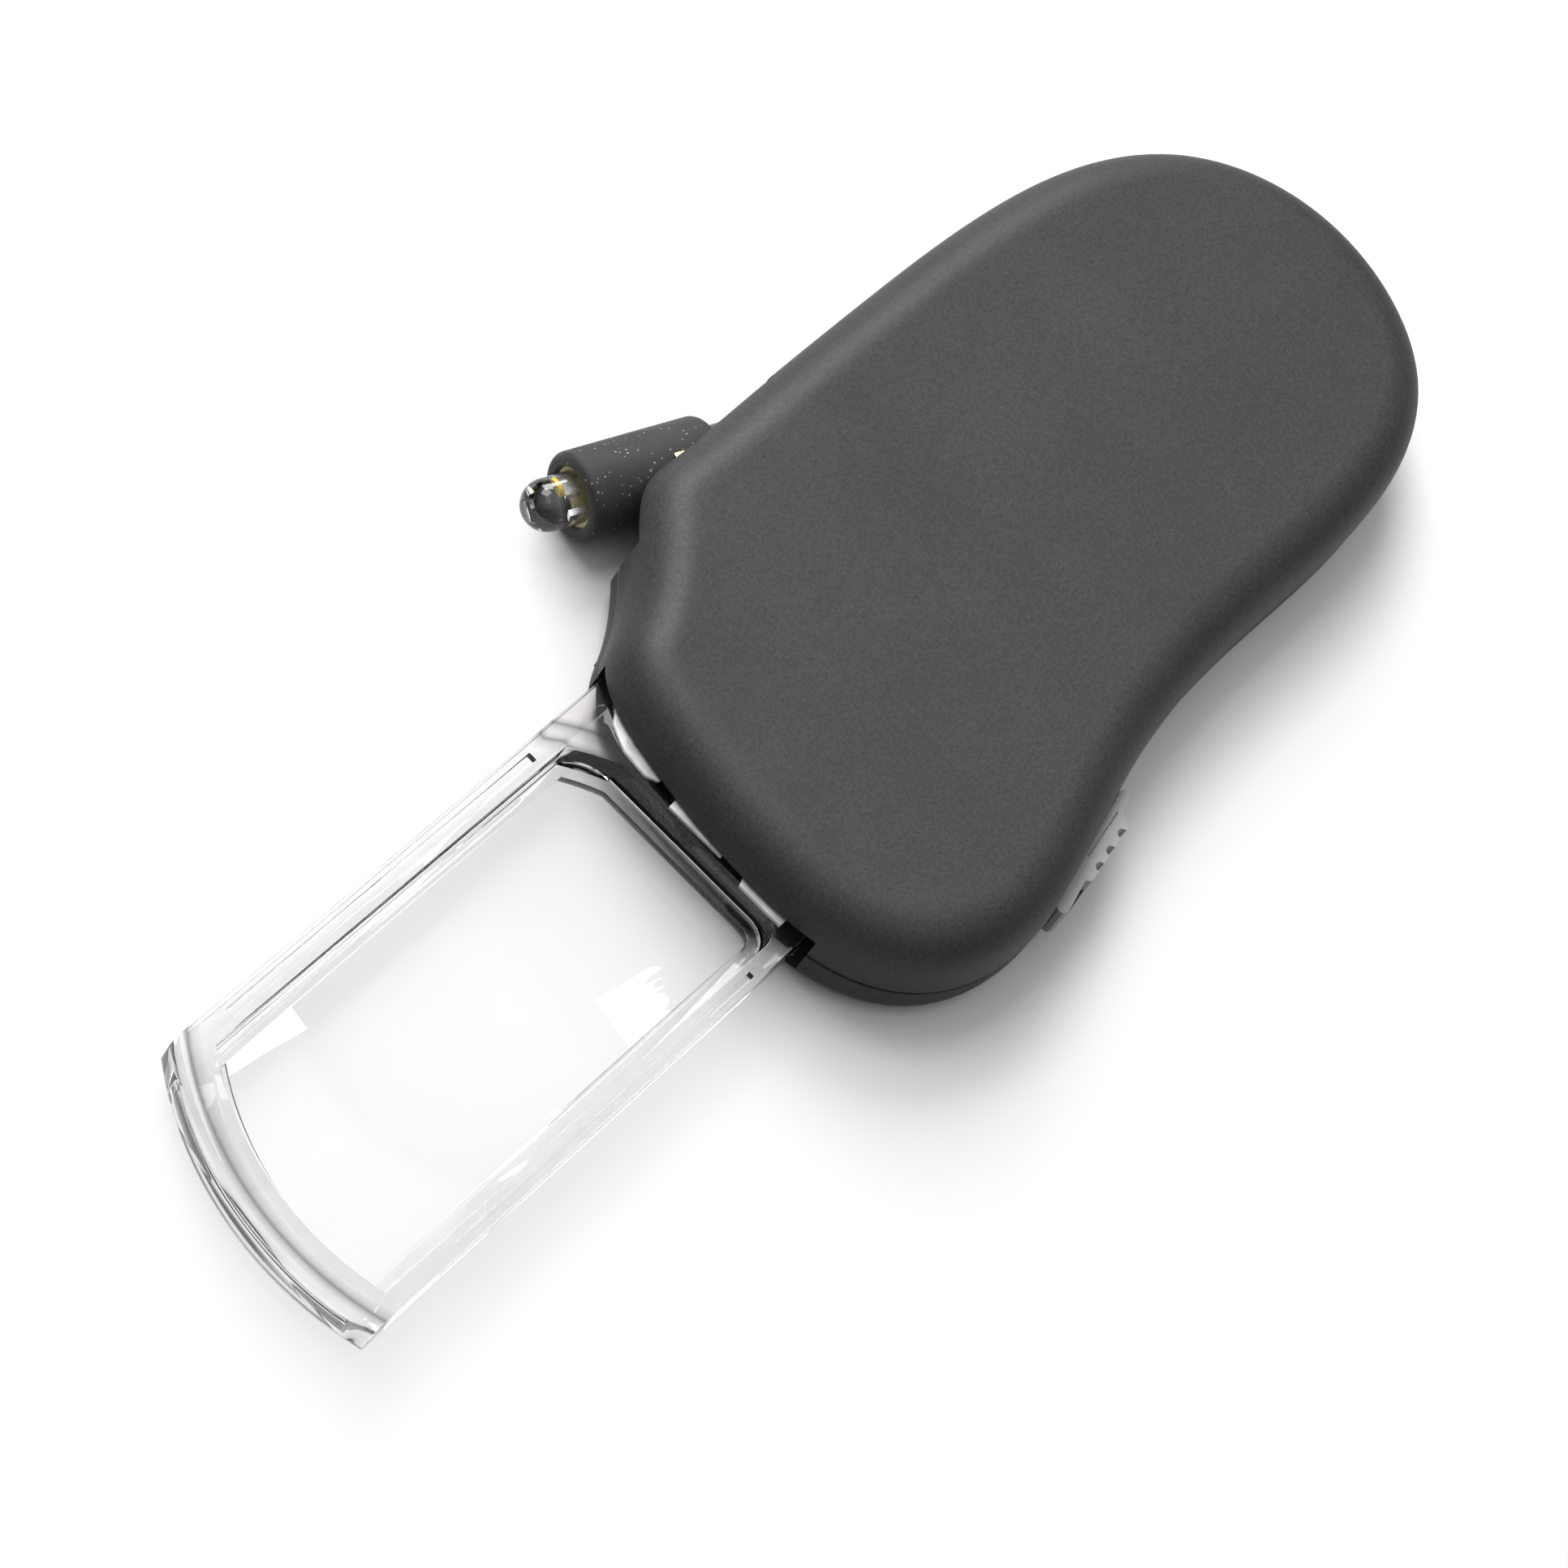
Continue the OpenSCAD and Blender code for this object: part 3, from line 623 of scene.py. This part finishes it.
def lower_shell():
    outer = [(i, z) for i, z in reversed(quarter(0, BOTTOM_ROUND, BOTTOM_ROUND, -1))]
    levels = ([(BOTTOM_ROUND + 0.6, 0)] + outer
              + [(0, RIM - EDGE), (0.06, RIM - 0.06), (EDGE, RIM), (TONGUE_INSET, RIM),
                 (TONGUE_INSET, TONGUE_TOP - 0.15), (TONGUE_INSET + 0.15, TONGUE_TOP),
                 (TONGUE_INSET + 0.7, TONGUE_TOP), (TONGUE_INSET + 0.85, TONGUE_TOP - 0.15),
                 (TONGUE_INSET + 0.85, FLOOR)])
    shell = case_loft(levels)
    mouth = block((-40, MOUTH[0], FLOOR), (MOUTH_BACK, MOUTH[1], 30))
    clearing = [prism(swing_plan(1.2), RIM, 9), post(PIVOT.to_2d(), KNUCKLE + 1.7, RIM, 9)]
    shell = combine(shell, [mouth, *clearing], "DIFFERENCE")
    posts = [post(s, 2.6, 0.5, SEAM - 0.2) for s in SCREWS]
    posts += [at_knob(post((x, 5.4), 1.1, 1, 2.4)) for x in (-8.5, 7.2)]
    ring = combine(post(BAY.to_2d(), CELL_RING_OUTER, 1, 5.8, 96),
                   [post(BAY.to_2d(), CELL_RING_INNER, 0, 9, 96)], "DIFFERENCE")
    shell = combine(shell, [lamp_wall(1, RIM), *carrier_guides(), *posts, ring], "UNION")
    cuts = lamp_space(-1) + knob_recess()
    cuts += [post(PIVOT.to_2d(), RIVET_HOLE, -1, 3), post(PIVOT.to_2d(), RIVET_SEAT, -1, 0.65)]
    for s in SCREWS:
        cuts += [post(s, SCREW_CLEAR, -1, 6), post(s, SCREW_HEAD + 0.2, -1, 1.8)]
    cuts += [post(BAY.to_2d(), CAP_RADIUS + CAP_GAP, -1, 2, 128)]
    for turn in (LUG_TURN, LUG_TURN + pi):
        notch = block((LUG_NOTCH_REACH[0], -LUG_NOTCH_HALF, -1), (LUG_NOTCH_REACH[1], LUG_NOTCH_HALF, 2))
        notch.transform(Matrix.Translation((BAY.x, BAY.y, 0)) @ Matrix.Rotation(turn, 4, "Z"))
        cuts.append(notch)
    shell = combine(shell, cuts, "DIFFERENCE")
    return piece("lower_shell", shell, "case", CASE, ["lower_case"])


def upper_shell():
    outer = quarter(0, CASE_TOP - TOP_ROUND, TOP_ROUND, 1)
    levels = ([(CEILING_INSET, CEILING), (CEILING_INSET, SHOULDER), (WALL, SHOULDER), (WALL, SEAM),
               (EDGE, SEAM), (0.06, SEAM + 0.06), (0, SEAM + EDGE)] + outer
              + [(TOP_ROUND + 0.6, CASE_TOP)])
    shell = case_loft(levels)
    ribs = [block((x0, y, MOUTH_TOP), (x1, y + 1, CEILING + 0.5))
            for y in (CARRIER_SIDES[0] + 0.2, CARRIER_SIDES[1] - 1.2)
            for x0, x1 in ((-13, -2), (4, RAIL_END))]
    posts = [post(s, 2.4, SEAM, CEILING + 0.5) for s in SCREWS]
    shell = combine(shell, [lamp_wall(SEAM, CEILING + 0.1), *posts, *ribs], "UNION")
    cuts = [block((-40, MOUTH[0], -1), (MOUTH_BACK, MOUTH[1], MOUTH_TOP))] + lamp_space(-1)
    cuts += [*knob_recess(), post(PIVOT.to_2d(), RIVET_HOLE, 8, 10.8)]
    cuts += [post(s, SCREW_PILOT, 0, 10.6) for s in SCREWS]
    seat = block((4.2, 0.1, POCKET_TOP - 1), (10.7, 2.1, POCKET_TOP + 0.3))
    seat.transform(lamp_place())
    shell = combine(shell, cuts + [seat], "DIFFERENCE")
    return piece("upper_shell", shell, "case", CASE, ["upper_case"])


# ---------------------------------------------------------------- lamp

def lamp_place():
    """Local X along the lamp, Z up."""
    return Matrix.Translation((PIVOT.x, PIVOT.y, 0)) @ Matrix.Rotation(LAMP_ANGLE, 4, "Z")


def lamp_axis():
    """Local Z along the lamp, from the pivot."""
    return (Matrix.Translation((PIVOT.x, PIVOT.y, PIVOT.z)) @ Matrix.Rotation(LAMP_ANGLE, 4, "Z")
            @ Matrix.Rotation(pi / 2, 4, "Y"))


def lamp_sleeve():
    back = [(p.x, p.y) for p in arc((SLEEVE_RADIUS - 1, SLEEVE_BACK + 1), 1, -90, 0, 10)]
    front = [(p.x, p.y) for p in arc((SLEEVE_RADIUS - 0.7, SLEEVE_FRONT - 0.7), 0.7, 0, 90, 8)]
    profile = [(3.1, SLEEVE_BACK), *back, *front, (3.15, SLEEVE_FRONT),
               (3, SLEEVE_FRONT - 0.15), (3, SLEEVE_BACK + 0.1)]
    return piece("rubber_barrel", lathe(profile, 128, lamp_axis()), "lamp", RUBBER,
                 ["lamp_sleeve"])


def led():
    dome = [(p.x, p.y) for p in arc((0, LED_DOME), LED_RADIUS, 0, 90, 20)]
    profile = [(0, LED_FLANGE), (2.8, LED_FLANGE), (2.88, LED_FLANGE + 0.1),
               (2.88, LED_FLANGE + 0.9), (2.8, LED_FLANGE + 1), (LED_RADIUS, LED_FLANGE + 1),
               *dome[:-1], (0, LED_DOME + LED_RADIUS)]
    piece("clear_bulb", lathe(profile, 96, lamp_axis()), "lamp", EPOXY, ["led_bulb"])
    ring = [(2.52, LED_FLANGE + 1), (2.98, LED_FLANGE + 1), (2.98, SLEEVE_FRONT - 0.6),
            (2.9, SLEEVE_FRONT - 0.5), (2.6, SLEEVE_FRONT - 0.5), (2.52, SLEEVE_FRONT - 0.6)]
    piece("cream_ring", lathe(ring, 96, lamp_axis()), "lamp", CREAM, ["led_collar"])


# ---------------------------------------------------------------- lens slide

def carrier():
    """The CAD carrier with a well rounded grip end and its other edges eased."""
    def at_grip(edge):
        return all(abs((v.co.to_2d() - END_CENTRE).length - END_RADIUS) < 0.05 and v.co.x < -40
                   for v in edge.verts) and abs(edge.verts[0].co.z - edge.verts[1].co.z) < 0.01

    mesh = refined("lens_carrier", 0)
    soften(mesh, GRIP_ROUND, segments=6, chosen=at_grip)
    soften(mesh, 0.14, angle=35)
    return piece("clear_carrier", mesh, "slide", CLEAR, ["lens_carrier"], sharp=40)


def stop_tabs():
    """Three low satin tabs beside the window's inner end."""
    low_z, high_z = CARRIER_TOP - 0.1, CARRIER_TOP + TAB_HEIGHT
    round_tab = [(-22.8, 3.5), (-22.1, 2.3), (-21.0, 2.4), (-20.3, 6.6), (-18.6, 9.6), (-19.8, 9.9),
                 (-21.2, 9.0), (-22.5, 6.5)]
    wedge = [(-23.3, 0.1), (-23.2, -6.4), (-22.0, -6.0), (-21.6, 0.2)]
    third = [(-24.0, -9.3), (-24.0, -14.4), (-22.6, -14.4), (-22.6, -8.8)]
    for name, outline, width in (("round_tab", round_tab, 0.2), ("wedge_tab", wedge, 0.12),
                                 ("square_tab", third, 0.12)):
        mesh = prism(outline, low_z, high_z)
        soften(mesh, width, segments=3)
        piece(name, mesh, "slide", SATIN)


def window_curve(inset, steps=24):
    """The window's outline, moved inwards: three sides and an arc at the grip end."""
    bottom, top = WINDOW[0] + inset, WINDOW[1] - inset
    back, corner, radius = WINDOW_BACK - inset, 3 - inset, END_RADIUS - BEZEL - inset
    points = arc((back - corner, bottom + corner), corner, -90, 0, 8)
    points += arc((back - corner, top - corner), corner, 0, 90, 8)
    start = acos(-sqrt(radius ** 2 - (top - END_CENTRE.y) ** 2) / radius)
    end = 2 * pi - acos(-sqrt(radius ** 2 - (bottom - END_CENTRE.y) ** 2) / radius)
    far_top = END_CENTRE + radius * toward(start)
    for k in range(1, steps):
        points.append(Vector((back - corner, top)).lerp(far_top, k / steps))
    points += [END_CENTRE + radius * toward(start + (end - start) * k / steps) for k in range(steps + 1)]
    far_low = END_CENTRE + radius * toward(end)
    for k in range(1, steps):
        points.append(far_low.lerp(Vector((back - corner, bottom)), k / steps))
    return points


def lens():
    """A rectangular lens, convex on both sides, with a flat flange round it."""
    edge = window_curve(0.1)
    inner = window_curve(LEDGE + 0.15)

    def heights(p):
        sag = LENS_CURVE - sqrt(LENS_CURVE ** 2 - (p - LENS_CENTRE).length_squared)
        return min(LEDGE_TOP, LENS_LOW + sag), max(FLANGE_TOP, LENS_LOW + LENS_THICKNESS - sag)

    shares = [1 - (k / 28) ** 1.3 for k in range(28)]
    top = [[Vector((*LENS_CENTRE.lerp(p, s), 0)) for p in inner] for s in shares]
    under = []
    over = []
    for ring in top:
        under.append([Vector((p.x, p.y, heights(p.to_2d())[0])) for p in ring])
        over.append([Vector((p.x, p.y, heights(p.to_2d())[1])) for p in ring])
    collar = [[Vector((*p, z)) for p in outline]
              for outline, z in ((window_curve(0.2), LEDGE_TOP), (edge, LEDGE_TOP + 0.1),
                                 (edge, FLANGE_TOP - 0.1), (window_curve(0.2), FLANGE_TOP))]
    inner_low = [Vector((*p, LEDGE_TOP)) for p in inner]
    inner_top = [Vector((*p, FLANGE_TOP)) for p in inner]
    rings = list(reversed(under)) + [inner_low] + collar + [inner_top] + over
    return piece("clear_lens", skin(rings), "slide", LENS, ["magnifying_lens"], sharp=25)


# ---------------------------------------------------------------- switch, cap and small parts

def knob():
    """Skirt with a notched pad and a groove, a stem behind it, and a wedge at one end whose dark colour is
    painted shade.
    """
    skirt = prism([(-8.3, -0.1), (-8.3, -0.6), (-7.8, -0.95), (7.0, -0.85), (7.4, -0.5), (7.4, -0.05),
                   (7.0, 0.25), (-8.0, 0.25)], KNOB_LOW, KNOB_TOP)
    pad = prism([(5.1, -0.7), (-3.9, -0.7), (-3.5, -1.5), (4.3, -2.04)], KNOB_LOW, KNOB_TOP)
    stem = block((-1.9, -0.5, 4.9), (1.9, 2.9, 7.1))
    mesh = combine(skirt, [pad, stem], "UNION")
    cuts = [post((x, y), 0.55, 0, 12, 32) for x, y in ((2.98, -1.9), (0.62, -1.74), (-1.58, -1.6))]
    groove = block((-3.05, -0.07, KNOB_TOP - 0.3), (3.05, 0.07, 12))
    groove.transform(Matrix.Translation((1.7, -0.28, 0)) @ Matrix.Rotation(radians(-4), 4, "Z"))
    mesh = combine(mesh, [*cuts, groove, block((-0.8, 1.4, 4.8), (0.8, 3.5, 7.2))], "DIFFERENCE")
    soften(mesh, 0.1, angle=25, segments=3)
    piece("slide_knob", at_knob(mesh), "switch", KNOB, ["switch_knob"])
    # Painted shade: the wedge is coloured far darker than the knob, as if in shadow.
    wedge = prism([(-3.4, -0.8), (-6.5, -0.8), (-6.3, -1.25), (-3.4, -1.5)], KNOB_LOW + 0.2, KNOB_LOW + 2)
    soften(wedge, 0.08)
    piece("knob_wedge", at_knob(wedge), "switch", KNOB_END_SHADE)


def cap():
    mesh = refined("battery_cap", 0.15)
    return piece("coin_slot_cap", mesh, "cap", CAP, ["battery_cap"])


# Small parts: the CAD node, the piece's name, its body, finish, slot and edge radius.
SMALL = (("case_screws", "cross_screws", "case", STEEL, "steel", 0.12),
         ("coin_cell_lower", "cell_under", "case", NICKEL, "cell", 0.18),
         ("coin_cell_upper", "cell_over", "case", NICKEL, "cell", 0.18),
         ("contact_negative", "top_leaf", "case", BRASS, "brass", 0.06),
         ("contact_positive", "side_leaf", "case", BRASS, "brass", 0.06),
         ("circuit_board", "green_board", "case", BOARD, "board", 0.05),
         ("resistor", "chip_resistor", "case", CERAMIC, "resistor", 0.06),
         ("switch_can", "switch_shell", "case", STEEL, "steel", 0.08),
         ("switch_base", "switch_floor", "case", DARK, "dark_plastic", 0.06),
         ("switch_actuator", "switch_lever", "switch", DARK, "dark_plastic", 0.1),
         ("lamp_pivot_rivet", "hollow_rivet", "case", BRASS, "brass", 0.1),
         ("lamp_arm", "arm_core", "lamp", DARK, "dark_plastic", 0.25))

WIRES = (("battery_wire_red", "red_supply", RED, "wire_red"),
         ("battery_wire_black", "black_supply", BLACK, "wire_black"),
         ("lamp_wire_red", "red_lead", RED, "wire_red"),
         ("lamp_wire_black", "black_lead", BLACK, "wire_black"))


def small_parts():
    for node, name, body, finish, slot, width in SMALL:
        piece(name, refined(node, width), body, finish, [node])


def leaf_spring():
    """The leaf in the roof over the lamp, as a straight strip."""
    mesh = block((4.6, 0.62, POCKET_TOP - 0.12), (10.0, 1.9, POCKET_TOP + 0.1))
    soften(mesh, 0.05)
    mesh.transform(lamp_place())
    piece("leaf_spring", mesh, "case", BRASS, ["lamp_leaf_spring"])


def wires():
    """The CAD wires with their eight sides and bends smoothed into round cords."""
    for node, name, finish, slot in WIRES:
        mesh = refined(node, 0)
        bmesh.ops.join_triangles(mesh, faces=mesh.faces, angle_face_threshold=radians(50),
                                 angle_shape_threshold=radians(60))
        cord = as_object(mesh)
        smooth = cord.modifiers.new("smooth", "SUBSURF")
        smooth.levels = 2
        graph = bpy.context.evaluated_depsgraph_get()
        data = bpy.data.meshes.new_from_object(cord.evaluated_get(graph))
        bpy.data.objects.remove(cord)
        mesh = bmesh.new()
        mesh.from_mesh(data)
        piece(name, mesh, "case", finish, [node], sharp=80)


def dress_kept_nodes():
    for node, finish, slot in (("led_leads", STEEL, "steel"), ("led_chip", PHOSPHOR, "phosphor")):
        made = frame["nodes"][node]
        made.data.materials.clear()
        made.data.materials.append(finish)


# ---------------------------------------------------------------- studio

def make_camera():
    azimuth, elevation, roll = radians(8.8), radians(54), radians(37.6)
    aim, distance = Vector((-11.5, -5, 5)) * MM, 0.4858
    ahead = Vector((cos(elevation) * cos(azimuth), cos(elevation) * sin(azimuth), -sin(elevation)))
    data = bpy.data.cameras.new("camera")
    data.lens = 124
    data.sensor_width = 36
    camera = bpy.data.objects.new("camera", data)
    bpy.context.scene.collection.objects.link(camera)
    camera.rotation_mode = "QUATERNION"
    camera.rotation_quaternion = ahead.to_track_quat("-Z", "Y") @ Quaternion((0, 0, 1), roll)
    camera.location = aim - ahead * distance
    bpy.context.scene.camera = camera


def make_floor():
    """A pale round floor that bounces back less light than it shows, so that the sides stay dark."""
    mesh = skin([[Vector((*p, 0)) for p in circle(r, 64)] for r in (0.05, 0.2, 0.6, 1.5)])
    for face in [f for f in mesh.faces if len(f.verts) > 4][1:]:
        mesh.faces.remove(face)
    data = bpy.data.meshes.new("floor")
    mesh.to_mesh(data)
    mesh.free()
    floor = bpy.data.objects.new("floor", data)
    bpy.context.scene.collection.objects.link(floor)
    made, tree, shader = new_material("pale_floor")
    place = object_place(tree)
    tree.links.new(ramp(tree, noise(tree, place, 60), (0.3, (0.73, 0.73, 0.73)), (0.7, (0.75, 0.75, 0.75))),
                   shader.inputs["Base Color"])
    shader.inputs["Roughness"].default_value = 0.9
    shader.inputs["Specular IOR Level"].default_value = 0.1
    path = node_of(tree, "LightPath")
    dim = node_of(tree, "BsdfDiffuse", in_Color=(0.2, 0.2, 0.2, 1))
    either = node_of(tree, "MixShader")
    tree.links.new(path.outputs["Is Diffuse Ray"], either.inputs["Fac"])
    tree.links.new(shader.outputs["BSDF"], either.inputs[1])
    tree.links.new(dim.outputs["BSDF"], either.inputs[2])
    tree.links.new(either.outputs["Shader"], tree.nodes["Material Output"].inputs["Surface"])
    data.materials.append(made)
    floor.location.z = cad_low.z


def area_light(name, place, aim, size, power):
    data = bpy.data.lights.new(name, "AREA")
    data.shape = "RECTANGLE"
    data.size, data.size_y = size
    data.energy = power
    made = bpy.data.objects.new(name, data)
    bpy.context.scene.collection.objects.link(made)
    made.location = place
    made.rotation_mode = "QUATERNION"
    made.rotation_quaternion = (Vector(aim) - Vector(place)).to_track_quat("-Z", "Y")


def make_studio():
    scene = bpy.context.scene
    scene.view_settings.view_transform = "Standard"
    world = bpy.data.worlds.new("world")
    world.use_nodes = True
    scene.world = world
    tree = world.node_tree
    background = tree.nodes["Background"]
    place = node_of(tree, "TexCoord")
    split = node_of(tree, "SeparateXYZ")
    tree.links.new(place.outputs["Generated"], split.inputs["Vector"])
    sky = ramp(tree, split.outputs["Z"], (0.0, (0.02, 0.02, 0.02)), (0.45, (0.03, 0.03, 0.03)),
               (0.95, (1.1, 1.1, 1.1)))
    path = node_of(tree, "LightPath")
    seen = mixed(tree, path.outputs["Is Camera Ray"], sky, (0.93, 0.93, 0.93))
    tree.links.new(seen, background.inputs["Color"])
    area_light("key", (0.75, 1.00, 0.95), (0, 0, 0), (0.8, 0.8), 22)
    area_light("side", (0.10, 0.75, 1.25), (0, 0, 0), (0.8, 0.8), 11)


make_camera()
lower_shell()
upper_shell()
lamp_sleeve()
led()
carrier()
stop_tabs()
lens()
knob()
cap()
small_parts()
leaf_spring()
wires()
dress_kept_nodes()
make_floor()
make_studio()

bpy.context.view_layer.update()
